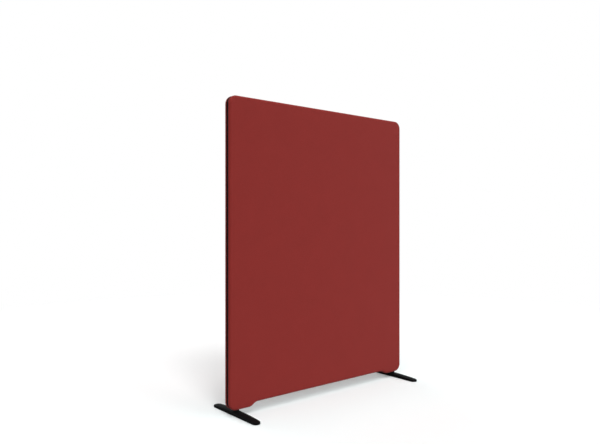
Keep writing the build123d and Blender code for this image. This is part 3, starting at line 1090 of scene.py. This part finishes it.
@dataclass
class Cover(FaceLayer):
    """One fabric cover: a face drawn tight over the board, rolled over the edge and hemmed beside the zip."""

    column_pitch: float = 3.8 * MM
    face_rows: int = 22
    face_crowding: float = 1.6
    roll_rows: int = 9
    inner_rows: int = 5
    inner_face_step: int = 6
    stitch_line: float = 2.8 * MM
    groove_depth: float = 0.35 * MM
    groove_width: float = 0.9 * MM
    groove_reach: float = 1.5
    groove_rows: int = 7
    fold_rows: int = 7
    ripple: float = 0.25 * MM
    ripple_length: float = 0.42
    calm_margin: float = 60 * MM
    pucker: float = 0.22 * MM
    pucker_length: float = 21 * MM
    pucker_slant: int = 3
    pucker_start: float = 2 * MM
    pucker_end: float = 9 * MM
    smooth: float = 60.0

    def outer_profile(self) -> tuple[Array, Array]:
        """Draws the outer side of the cloth from the roll's start to the hem's raw edge.

        A quarter turn of the roll's radius, the side, a half turn of one thickness round the fold, and the hem
        back along the inside. Where the stitches draw the cloth in lies a shallow groove, groove_depth
        exp(-((run - stitch) / groove_width)^2), with rows up to groove_reach of its width to either side.

        Returns:
            Rows of (inset, depth behind the face), and each row's distance along the cloth.
        """
        s = self.shape
        side = s.half_depth - s.roll_radius - s.half_gap - s.fabric
        hem = s.hem_width - s.fabric
        turn, fold = s.roll_radius * pi / 2, s.fabric * pi
        line = BentLine((-s.roll_radius, 0.0), 0.0, (
            (turn, 1 / s.roll_radius), (side, 0.0), (fold, 1 / s.fabric), (hem, 0.0)))
        stitch = turn + side + s.fabric - self.stitch_line
        on_side = stitch + self.groove_width * np.linspace(-self.groove_reach, self.groove_reach, self.groove_rows)
        runs = np.concatenate([
            np.linspace(0, turn, self.roll_rows), [(turn + on_side[0]) / 2], on_side,
            turn + side + fold * np.linspace(0, 1, self.fold_rows), [turn + side + fold + hem],
        ])
        places, *_ = line.at(runs)
        draw = np.exp(-(((runs - stitch) / self.groove_width) ** 2)) * self.groove_depth
        return np.stack([draw - places[:, 0], places[:, 1]], -1), runs

    def inner_profile(self) -> Array:
        """Draws the inner side of the cloth, back from the hem's raw edge to the face.

        Returns:
            Rows of (inset, depth behind the face).
        """
        s = self.shape
        angles = np.linspace(0, pi / 2, self.inner_rows)
        radius = s.roll_radius - s.fabric
        roll = np.stack([s.roll_radius - radius * np.cos(angles), s.roll_radius - radius * np.sin(angles)], -1)
        hem_end = s.half_depth - s.half_gap - s.hem_width
        return np.concatenate([[[s.fabric, hem_end]], roll])

    def face_grid(self, run: Array, shares: Array, depth: float) -> tuple[Array, Array]:
        """Draws the face's ring in towards its middle, with a slight ripple that dies out at the roll.

        Args:
            run: Distances round the edge.
            shares: How far each ring is drawn in.
            depth: How deep the layer lies behind the face.

        Returns:
            Points (n, m, 3), and their places in the flat cloth.
        """
        s = self.shape
        flat = s.drawn_in(run, s.roll_radius, shares)
        ring = s.drawn_in(run, s.roll_radius, np.zeros(1))
        calm = np.minimum(1, np.abs(ring - flat).max(-1) / self.calm_margin)
        ripple = self.ripple * calm * waves(flat[..., 0], flat[..., 1], self.ripple_length)
        return self.behind(flat, depth + ripple), flat

    def side_grid(self, run: Array) -> tuple[Array, Array]:
        """Carries the outer profile round the edge, with faint puckers between the roll and the stitches.

        A pucker's height is a ripple times the sine of the way across the side.

        Args:
            run: Distances round the edge.

        Returns:
            Points (n, m, 3), and their places in the flat cloth, rolled out beyond the face's ring.
        """
        s = self.shape
        rows, along = self.outer_profile()
        inset, depth = rows[:, :1], rows[:, 1:]
        across = np.clip((depth - self.pucker_start) / (s.half_depth - self.pucker_end), 0, 1)
        ripple = waves(run[None] + 0 * depth, self.pucker_slant * depth, self.pucker_length)
        puckers = self.pucker * ripple * np.sin(across * pi)
        points = s.around(run, inset - puckers, self.face.value * (s.half_depth - depth))
        return points, s.around(run, s.roll_radius - along, 0.0)[..., ::2]

    def build(self, finish: Material) -> Piece:
        """Makes the cover as one closed skin of two layers, and logs the size that it was cut to.

        Args:
            finish: The cover's cloth.

        Returns:
            The cover.
        """
        s, title = self.shape, self.face.title
        run = s.even_runs(self.column_pitch)
        shares = np.linspace(0, 1, self.face_rows, endpoint=False)[1:] ** self.face_crowding
        face_points, face_flat = self.face_grid(run, shares[::-1], 0.0)
        side_points, side_flat = self.side_grid(run)
        back_points, back_flat = self.face_grid(run, shares[::self.inner_face_step], s.fabric)
        inner_points = self.rolled(run, self.inner_profile())
        inner_flat = side_flat[-1:].repeat(len(inner_points), 0)
        skin = Skin()
        skin.add_tray(
            np.concatenate([face_points, side_points, inner_points, back_points]), self.poles(0.0, s.fabric),
            np.concatenate([face_flat, side_flat, inner_flat, back_flat]), np.array([s.middle] * 2))
        made = skin.piece(title + "_cover_cloth", finish, self.body, self.smooth)
        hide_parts(title + "_cover")
        flat, area = self.cut()
        stretched(made, flat)
        return made

    def cut(self) -> tuple[Pair, float]:
        """Unrolls the cover: the face and what rolls over each side, less its round corners and the recess.

        Returns:
            The cut's width and length, and its area.
        """
        s = self.shape
        reach = 2 * (self.outer_profile()[1][-1] - s.roll_radius)
        flat = (2 * s.half_width + reach, s.top - s.leg_height + reach)
        corners = (4 - pi) * (s.corner_radius + reach / 2) ** 2
        recess = 2 * (s.half_width - s.leg_width) * (s.recess_height - s.leg_height)
        return flat, flat[0] * flat[1] - corners - recess


@dataclass
class Stitching:
    """A row of lock stitches round the whole edge, drawn into the cloth at their ends."""

    shape: PanelShape
    body: str
    pitch: float = 3.5 * MM
    stitch: float = 2.7 * MM
    thickness: float = 0.5 * MM
    sides: int = 5
    bands: int = 5
    droop: float = 1.4

    def build(self, name: str, depth: float, inset: float, finish: Material) -> Piece:
        """Makes the row.

        A stitch is a spindle: at a share t from -1 to 1 of its half length its radius is that of the thread times
        sqrt(1 - t^2), and its middle line rises out of the cloth by half a thickness times 1 - droop t^2.

        Args:
            name: The piece's name.
            depth: The row's Y.
            inset: How deep the needle line lies inside the outline.
            finish: The thread.

        Returns:
            The row.
        """
        edge = self.shape.edge(inset)
        count = round(edge.length / self.pitch)
        run = (np.arange(count) + 0.5) * edge.length / count
        share = np.linspace(-1, 1, self.bands + 2)[1:-1, None]
        around = round_angles(self.sides)
        radius = self.thickness / 2 * np.sqrt(1 - share ** 2)
        out = self.thickness / 2 * (1 - self.droop * share ** 2) + radius * np.cos(around)
        flat = edge.carried(run, share * self.stitch / 2, out)
        skin = Skin()
        skin.add_bodies(upright(flat, depth + radius * np.sin(around)))
        return skin.piece(name, finish, self.body)


@dataclass
class Webbing:
    """Narrow cloth that runs round the panel's edge with one section."""

    shape: PanelShape
    body: str
    finish: Material
    section_points: int = 9

    def flat_section(self, half_width: float, inset: float, thickness: float) -> Array:
        """Draws a flat box.

        Args:
            half_width: Half its width.
            inset: How deep its outer side lies below the outline.
            thickness: Its thickness.

        Returns:
            Rows of (Y, inset) round the box.
        """
        across = np.linspace(-half_width, half_width, self.section_points)
        outer = np.stack([across, np.full(len(across), inset)], -1)
        return np.concatenate([outer, outer[::-1] + (0, thickness)])

    def upper_run(self, height: float, pitch: float) -> Array:
        """Spreads places over the top, from a height on one side to the same height on the other.

        Args:
            height: The height of both ends.
            pitch: About how far the places lie apart.

        Returns:
            Distances from the top's middle, the first below zero.
        """
        end = self.shape.run_to_height(height)
        return np.linspace(-end, end, round(2 * end / pitch))

    def lay(self, name: str, run: Array, section: Array, side: int = 1, shift: Array | float = 0.0) -> Piece:
        """Makes a band.

        Args:
            name: The piece's name.
            run: Distances round the edge, (m,).
            section: Rows of (distance from the middle plane, inset), (n, 2).
            side: 1 for the rear of the middle plane, -1 for its front.
            shift: How much further from the middle plane each point lies, (n, m).

        Returns:
            The band.
        """
        points = self.shape.around(run, section[:, 1], side * (section[:, :1] + shift))
        across = np.broadcast_to(section[:, :1], points.shape[:-1])
        skin = Skin()
        skin.add_tube(points, np.stack([np.broadcast_to(run, across.shape), across], -1))
        made = skin.piece(name, self.finish, self.body)
        return made


@dataclass
class Gusset:
    """Black webbing along the lower edge, between the zip's ends, with a hole for each foot's spacer."""

    webbing: Webbing
    inset: float = 2.4 * MM
    thickness: float = 0.8 * MM
    end_ease: float = 0.3 * MM
    column_pitch: float = 3 * MM
    foot_inset: float = 50 * MM
    hole_radius: float = 6 * MM
    hole_sides: int = 32
    weld: float = 0.01 * MM

    def bore(self, made: Piece) -> None:
        """Takes a round prism away from the webbing above each foot, and joins points nearer than the weld.

        The prism goes from the floor to twice the legs' height, through the webbing under the leg.

        Args:
            made: The webbing.
        """
        s = self.webbing.shape
        angle = round_angles(self.hole_sides)
        x, y = self.hole_radius * np.cos(angle), self.hole_radius * np.sin(angle)
        for side in (-1, 1):
            ring = np.stack([x + side * (s.half_width - self.foot_inset), y, 0 * angle], -1)
            skin = Skin()
            skin.add_bodies(np.stack([ring, ring + (0, 0, 2 * s.leg_height)])[None])
            prism = skin.piece("gusset_hole_cutter", self.webbing.finish, None)
            cut = made.modifiers.new("hole", "BOOLEAN")
            cut.operation = "DIFFERENCE"
            cut.object = prism
            made.modifiers.new("weld", "WELD").merge_threshold = self.weld
            whole = made.evaluated_get(bpy.context.evaluated_depsgraph_get())
            finished = bpy.data.meshes.new_from_object(whole)
            made.modifiers.clear()
            made.data = finished
            bpy.data.objects.remove(prism)

    def build(self) -> Piece:
        """Makes the gusset.

        Returns:
            The gusset.
        """
        s = self.webbing.shape
        section = self.webbing.flat_section(s.tape_edge, self.inset, self.thickness)
        start = s.run_to_height(s.zip_end_height - self.end_ease)
        length = s.edge().length - 2 * start
        run = start + np.linspace(0, length, round(length / self.column_pitch))
        made = self.webbing.lay("bottom_gusset_cloth", run, section)
        self.bore(made)
        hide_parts("bottom_gusset")
        stretched(made, (2 * s.tape_edge, length))
        return made


@dataclass
class Zip:
    """The zip round both sides and the top: tapes, teeth that part at the slider, and a guard behind them."""

    webbing: Webbing
    tape_inset: float = 2.4 * MM
    tape_thickness: float = 0.8 * MM
    tape_ease: float = 0.1 * MM
    tape_column_pitch: float = 2.5 * MM
    bead: float = 0.25 * MM
    bead_crest: int = 3
    bead_foot: int = 5
    chain_width: float = 5.2 * MM
    chain_thickness: float = 2.6 * MM
    pitch: float = 2.8 * MM
    base_width: float = 1.9 * MM
    base_length: float = 0.75 * MM
    neck_width: float = 0.95 * MM
    head_width: float = 1.3 * MM
    head_length: float = 0.85 * MM
    reach: float = 0.9 * MM
    crown: float = 0.4 * MM
    crown_share: float = 0.72
    front_shift_share: float = 0.8
    rear_shift_share: float = 0.3
    stop_rise: float = 2.2 * MM
    stop_height: float = 3.0 * MM
    seat_gap: float = 0.3 * MM
    retainer_height: float = 7.0 * MM
    slider_length: float = 12.0 * MM
    split_share: float = 0.72
    fully_parted_share: float = 0.3
    parting: float = 2.0 * MM
    guard_inset: float = 5.7 * MM
    guard_thickness: float = 0.6 * MM
    guard_half_width: float = 9.5 * MM
    guard_end_height: float = 62 * MM
    guard_column_pitch: float = 4 * MM
    smooth: float = 25.0

    @property
    def chain_inset(self) -> float:
        """The middle of the chain, below the outline."""
        return self.tape_inset + self.tape_thickness / 2

    @property
    def slider_bottom(self) -> float:
        """Height of the parked slider's lower end."""
        return self.webbing.shape.zip_end_height + self.stop_rise + self.stop_height + self.seat_gap

    def parted(self, x: Array, z: Array) -> Array:
        """Works out how far a row stands off the centre: the full parting below the slider's post, then none.

        Args:
            x: Places along the panel.
            z: Heights.

        Returns:
            Distances, which are nothing on the left-hand side.
        """
        split = self.slider_bottom + self.split_share * self.slider_length
        full = self.slider_bottom + self.fully_parted_share * self.slider_length
        share = smooth_share((split - z) / (split - full))
        return np.where(x > 0, self.parting * share, 0.0)

    def tape(self, face: Face) -> Piece:
        """Makes one tape: a flat band from under the hem to the chain, with a corded edge beside the teeth.

        The cord stands one bead out. It is flat from one to bead_crest beads from the tape's edge, and ends at
        bead_foot beads. Where the rows part, a point moves by the parting times the smooth share of its way
        from the outer edge.

        Args:
            face: The tape's side.

        Returns:
            The tape.
        """
        s = self.webbing.shape
        near = self.chain_width / 2 + self.tape_ease
        low, high, bead = self.tape_inset, self.tape_inset + self.tape_thickness, self.bead
        crest, foot = near + self.bead_crest * bead, near + self.bead_foot * bead
        section = np.array([
            (s.tape_edge, low), (s.half_gap, low), (foot, low), (crest, low - bead), (near + bead, low - bead),
            (near, self.chain_inset), (near + bead, high + bead), (crest, high + bead), (foot, high),
            (s.tape_edge, high),
        ])
        run = self.webbing.upper_run(s.zip_end_height, self.tape_column_pitch)
        straight = s.around(run, section[:, 1], 0.0)
        loose = smooth_share((s.tape_edge - section[:, :1]) / (s.tape_edge - near))
        shift = loose * self.parted(straight[..., 0], straight[..., 2])
        made = self.webbing.lay(f"zip_tape_{face.title}_cloth", run, section, face.value, shift)
        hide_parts("zip_tape_" + face.title)
        around = np.hypot(*(section - np.roll(section, 1, 0)).T).sum()
        stretched(made, (around / 2, 2 * run[-1]))
        return made

    def tooth(self) -> Array:
        """Draws a tooth: base, neck and head in plan, in three layers, the last a little smaller for a crown.

        Returns:
            Points (3, round, 3), as (across the chain, along it, out of it).
        """
        base, tip = -self.chain_width / 2, self.reach
        neck, head = base + self.base_length, tip - self.head_length
        half = np.array([
            (base, self.base_width), (neck, self.base_width), (neck, self.neck_width), (head, self.neck_width),
            (head, self.head_width), (tip, self.head_width),
        ]) * (1, 0.5)
        outline = np.concatenate([half, half[::-1] * (1, -1)])
        top = outline * (1, self.crown_share)
        top[:, 0] = np.clip(top[:, 0], base + self.crown / 2, tip - self.crown / 2)
        layers = np.stack([outline, outline, top])
        rise = np.array([-0.5, 0.5, 0.5]) * self.chain_thickness - (0, self.crown, 0)
        return np.concatenate([layers, np.broadcast_to(rise[:, None, None], layers.shape[:2] + (1,))], -1)

    def teeth(self, face: Face, finish: Material) -> Piece:
        """Makes one row of teeth from the slider round to the retainer, each set square to the chain's line.

        Args:
            face: The row's side.
            finish: The teeth's plastic.

        Returns:
            The row.
        """
        s = self.webbing.shape
        edge = s.edge(self.chain_inset)
        shift = self.front_shift_share if face is Face.FRONT else self.rear_shift_share
        start = s.run_to_height(self.slider_bottom + shift * self.pitch, self.chain_inset)
        top_of_retainer = s.zip_end_height + self.stop_rise + self.retainer_height + self.head_width
        end = -s.run_to_height(top_of_retainer, self.chain_inset)
        run = np.mod(np.arange(start, end, -self.pitch), edge.length)
        across, along, out = np.moveaxis(self.tooth(), -1, 0)
        off = self.parted(*edge.at(run)[0].T)[:, None, None]
        skin = Skin()
        skin.add_bodies(upright(edge.carried(run, along, out), face.value * (off - across)))
        made = skin.piece(f"zip_row_{face.title}", finish, self.webbing.body, self.smooth)
        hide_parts("zip_chain_" + face.title, "zip_teeth_" + face.title)
        return made

    def guard(self) -> Piece:
        """Makes the guard: a flat band on the frame's edge, so that no wood shows between the teeth.

        Returns:
            The guard.
        """
        section = self.webbing.flat_section(self.guard_half_width, self.guard_inset, self.guard_thickness)
        run = self.webbing.upper_run(self.guard_end_height, self.guard_column_pitch)
        made = self.webbing.lay("zip_guard_cloth", run, section)
        stretched(made, (2 * self.guard_half_width, 2 * run[-1]))
        return made

    def build(self, teeth: Material) -> None:
        """Makes both tapes, both rows of teeth and the guard.

        Args:
            teeth: The teeth's plastic.
        """
        for face in Face:
            self.tape(face)
            self.teeth(face, teeth)
        self.guard()


@dataclass
class Wadding(FaceLayer):
    """One padded tray between the frame and a cover."""

    outer_inset: float = 1.5 * MM
    thickness: float = 5 * MM
    lap_end: float = 12.3 * MM
    column_pitch: float = 9 * MM
    roll_rows: int = 7
    face_rows: int = 7
    swell: float = 0.2 * MM
    swell_length: float = 0.11

    def face_grid(self, run: Array, inset: float, depth: float, shares: Array, swell: float) -> Array:
        """Draws one side of the tray's face.

        Args:
            run: Distances round the edge.
            inset: The inset of the face's ring.
            depth: How deep the side lies behind the panel's face.
            shares: How far each ring is drawn in.
            swell: How much the fibres bulge and sink.

        Returns:
            Points (n, m, 3).
        """
        s = self.shape
        flat = s.drawn_in(run, inset, shares)
        return self.behind(flat, depth - swell * waves(flat[..., 0], flat[..., 1], self.swell_length))

    def build(self, finish: Material) -> Piece:
        """Makes the tray as a closed skin: outer face, roll and lap, then the inner side back to the face.

        Args:
            finish: The fibre.

        Returns:
            The tray.
        """
        s, title = self.shape, self.face.title
        run = s.even_runs(self.column_pitch)
        radius, deep = s.roll_radius - self.outer_inset, self.outer_inset + self.thickness
        turn = np.linspace(0, pi / 2, self.roll_rows)
        lap = s.half_depth - self.lap_end
        profile = np.concatenate([
            np.stack([s.roll_radius - radius * np.sin(turn), s.roll_radius - radius * np.cos(turn)], -1),
            [(self.outer_inset, lap), (deep, lap), (deep, deep)],
        ])
        shares = np.linspace(0, 1, self.face_rows + 2)[1:-1]
        skin = Skin()
        skin.add_tray(np.concatenate([
            self.face_grid(run, s.roll_radius, self.outer_inset, shares[::-1], self.swell),
            self.rolled(run, profile),
            self.face_grid(run, deep, deep, shares, 0.0),
        ]), self.poles(self.outer_inset, deep))
        made = skin.piece(title + "_wadding_pad", finish, self.body)
        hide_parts(title + "_wadding")
        return made


@dataclass(frozen=True)
class EasedEdges:
    """A node's edges, rounded by a small radius where its faces meet at an angle."""

    radius: float
    from_angle: float = 30.0
    segments: int = 2
    joining_distance: float = 0.002 * MM
    flat_within: float = 0.5

    def apply(self, made: Piece) -> None:
        """Joins the node's loose triangles into flat faces, then rounds the edges between them.

        Args:
            made: The node.
        """
        weld = made.modifiers.new("weld", "WELD")
        weld.merge_threshold = self.joining_distance
        flat = made.modifiers.new("flat", "DECIMATE")
        flat.decimate_type = "DISSOLVE"
        flat.angle_limit = radians(self.flat_within)
        bevel = made.modifiers.new("ease", "BEVEL")
        bevel.width = self.radius
        bevel.segments = self.segments
        bevel.limit_method = "ANGLE"
        bevel.angle_limit = radians(self.from_angle)
        bevel.use_clamp_overlap = True
        bevel.miter_outer = "MITER_ARC"
        bevel.harden_normals = True


@dataclass
class Hardware:
    """Finishes of the nodes that keep their own shape: frame, core, feet, fixings, slider and pull."""

    nodes: dict[str, Piece]
    finishes: Finishes
    timber: EasedEdges = EasedEdges(0.8 * MM)
    cast: EasedEdges = EasedEdges(0.9 * MM, from_angle=25.0, segments=3)
    turned: EasedEdges = EasedEdges(0.35 * MM)
    moulded: EasedEdges = EasedEdges(0.15 * MM)
    pressed: EasedEdges = EasedEdges(0.12 * MM)

    def dress(self) -> None:
        """Gives each node its finish, and rounds its edges."""
        f = self.finishes
        plan = (
            (f.teeth, self.moulded, "zip_stops"),
            (f.enamel, self.pressed, "zip_slider zip_pull"),
            (f.upright_wood, self.timber, "frame_stile_left frame_stile_right"),
            (f.level_wood, self.timber, "frame_top_rail frame_mid_rail frame_bottom_rail"),
            (f.level_wood, self.timber, "leg_block_left leg_block_right"),
            (f.tenon_wood, self.timber, "frame_tenons"),
            (f.felt, None, "core_slab_upper core_slab_lower"),
            (f.foot, self.cast, "foot_left foot_right"),
            (f.spacer, self.turned, "foot_spacers"),
            (f.plate, self.turned, "foot_plates"),
            (f.rubber, self.turned, "foot_glides"),
            (f.fastener, self.turned, "foot_bolts insert_nuts"),
            (f.fastener, self.pressed, "plate_screws"),
        )
        for finish, edges, names in plan:
            for name in names.split():
                node = self.nodes[name]
                node.data.materials.clear()
                node.data.materials.append(finish)
                if edges:
                    edges.apply(node)
                LOG.info("%s dressed in %s", name, finish.name)


# ---- studio ---------------------------------------------------------------------------------------------------


@dataclass(frozen=True)
class Softbox:
    """A far, soft lamp: how many degrees it stands round from the front, towards -X, and above the floor."""

    name: str
    round_from_front: float
    height_angle: float
    spread: float
    level: float

    def build(self) -> None:
        """Makes the lamp. At a level of 1 a white surface square to it looks white."""
        data = bpy.data.lights.new(self.name, "SUN")
        data.energy = self.level * pi
        data.angle = radians(self.spread)
        turn = (pi / 2 - radians(self.height_angle), 0, -radians(self.round_from_front))
        placed(self.name, data).rotation_euler = turn


@dataclass
class Studio:
    """Plain pale floor, soft light and the camera at the photograph's angle."""

    camera_place: tuple[float, float, float] = (-2.08015, -2.29773, 0.90791)
    camera_turn: float = -39.917
    lens: float = 35.0
    clip_end: float = 200.0
    floor_half: float = 40.0
    floor_white: float = 1.0
    floor_noise: Patches = Patches(40.0)
    floor_shades: Pair = (0.995, 1.005)
    fade: Pair = (2.2, 4.5)
    bounce: float = 0.4
    # Painted light on the floor: a cool tint beside the panel that cancels the cover's red bounce.
    glow: float = 0.075
    glow_middle: float = -0.2
    glow_reach: float = 0.45
    glow_dim: float = 0.6
    sky: float = 0.15
    lamps: tuple[Softbox, ...] = (
        Softbox("key", 20, 50, 18, 0.25),
        Softbox("front_fill", -20, 20, 28, 0.185),
        Softbox("low_fill", 20, 20, 22, 0.19),
        Softbox("right_fill", -60, 20, 35, 0.198),
        Softbox("left_fill", 60, 50, 35, 0.215),
        Softbox("top_fill", 0, 88, 40, 0.30),
        Softbox("back_fill", 180, 50, 35, 0.137),
    )

    def camera(self) -> None:
        """Sets up a level camera, with the horizon where the photograph has it."""
        data = bpy.data.cameras.new("camera")
        data.lens = self.lens
        data.clip_end = self.clip_end
        made = placed("camera", data)
        made.location = self.camera_place
        made.rotation_euler = (pi / 2, 0, radians(self.camera_turn))
        bpy.context.scene.camera = made

    def floor_finish(self) -> Material:
        """Builds the floor's material: white to the camera, with the shadow on it, and clear from below.

        Around the part it is matt, and further off it fades into the white behind. Beside the panel a painted glow
        g = glow exp(-((y - glow_middle) / glow_reach)^2) cancels the red light that the lit cover throws on the
        floor in front of it: painted light, a cool tint. To the camera the red part is level (1 - glow_dim g), and
        the others that times 1 + g.

        Returns:
            The material.
        """
        g = Graph.named("studio_floor")
        seen = g.backdrop_rays()
        level = g.times(g.blend(g.noise(g.place(), self.floor_noise), *self.floor_shades),
                        g.blend(seen, self.bounce, self.floor_white))
        # Painted light: a cool tint beside the panel that cancels the red light bounced off the cover.
        _, forward = g.split(g.place())
        off = g.math("SUBTRACT", forward, self.glow_middle)
        near = g.math("POWER", g.magnitude(g.math("DIVIDE", off, self.glow_reach)), 2.0)
        glow = g.times(g.times(g.math("EXPONENT", g.times(near, -1.0)), self.glow), seen)
        red = g.times(level, g.math("SUBTRACT", 1.0, g.times(glow, self.glow_dim)))
        painted_cool = g.times(red, g.plus(glow, 1.0))
        colour = g.node("ShaderNodeCombineXYZ", None, {0: red, 1: painted_cool, 2: painted_cool}).outputs[0]
        matt = g.node("ShaderNodeBsdfDiffuse", None, {"Color": colour}).outputs[0]
        far = g.node("ShaderNodeVectorMath", {"operation": "LENGTH"}, {0: g.place()}).outputs["Value"]
        share = g.times(g.step(far, *self.fade), seen)
        white = g.node("ShaderNodeEmission", None, {"Color": (1, 1, 1, 1), "Strength": 1.0}).outputs[0]
        above = g.node("ShaderNodeMixShader", None, {0: share, 1: matt, 2: white}).outputs[0]
        camera = g.node("ShaderNodeLightPath").outputs["Is Camera Ray"]
        under = g.times(g.node("ShaderNodeNewGeometry").outputs["Backfacing"], camera)
        clear = g.node("ShaderNodeBsdfTransparent").outputs[0]
        mixed = g.node("ShaderNodeMixShader", None, {0: under, 1: above, 2: clear}).outputs[0]
        g.node("ShaderNodeOutputMaterial", None, {"Surface": mixed})
        return g.owner

    def floor(self) -> None:
        """Lays the floor, one wide square."""
        h = self.floor_half
        mesh = bpy.data.meshes.new("studio_floor")
        mesh.from_pydata([(-h, -h, 0), (h, -h, 0), (h, h, 0), (-h, h, 0)], [], [(0, 1, 2, 3)])
        mesh.materials.append(self.floor_finish())
        made = placed("studio_floor", mesh)

    def light(self) -> None:
        """Sets up an even sky that the camera sees white, and the soft lamps."""
        world = bpy.data.worlds.new("studio")
        bpy.context.scene.world = world
        g = Graph(world)
        strength = g.blend(g.backdrop_rays(), self.sky, 1.0)
        back = g.node("ShaderNodeBackground", None, {"Color": (1, 1, 1, 1), "Strength": strength})
        g.node("ShaderNodeOutputWorld", None, {"Surface": back.outputs[0]})
        for lamp in self.lamps:
            lamp.build()
        bpy.context.scene.view_settings.view_transform = "Standard"

    def build(self) -> None:
        """Sets up camera, floor and light."""
        self.camera()
        self.floor()
        self.light()


def main() -> None:
    """Builds the dressed screen in order."""
    logging.basicConfig(level=logging.INFO, format="%(name)s: %(message)s")
    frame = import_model()
    bodies = frame["record"]["behaviour"]["bodies"]
    panel = next(name for name, nodes in bodies.items() if "front_cover" in nodes)
    low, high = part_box("front_cover")
    shape = PanelShape(half_width=high.x, top=high.z, leg_height=low.z, half_depth=-low.y)
    finishes = Finishes()
    stitching = Stitching(shape, panel)
    for face in Face:
        Wadding(shape, face, panel).build(finishes.wadding)
        cover = Cover(shape, face, panel)
        cover.build(finishes.cover)
        needle = face.value * (shape.half_gap + cover.stitch_line)
        stitching.build(face.title + "_cover_stitches", needle, cover.groove_depth, finishes.thread)
    webbing = Webbing(shape, panel, finishes.tape)
    Zip(webbing).build(finishes.teeth)
    Gusset(webbing).build()
    Hardware(frame["nodes"], finishes).dress()
    Studio().build()


if __name__ == "__main__":
    main()
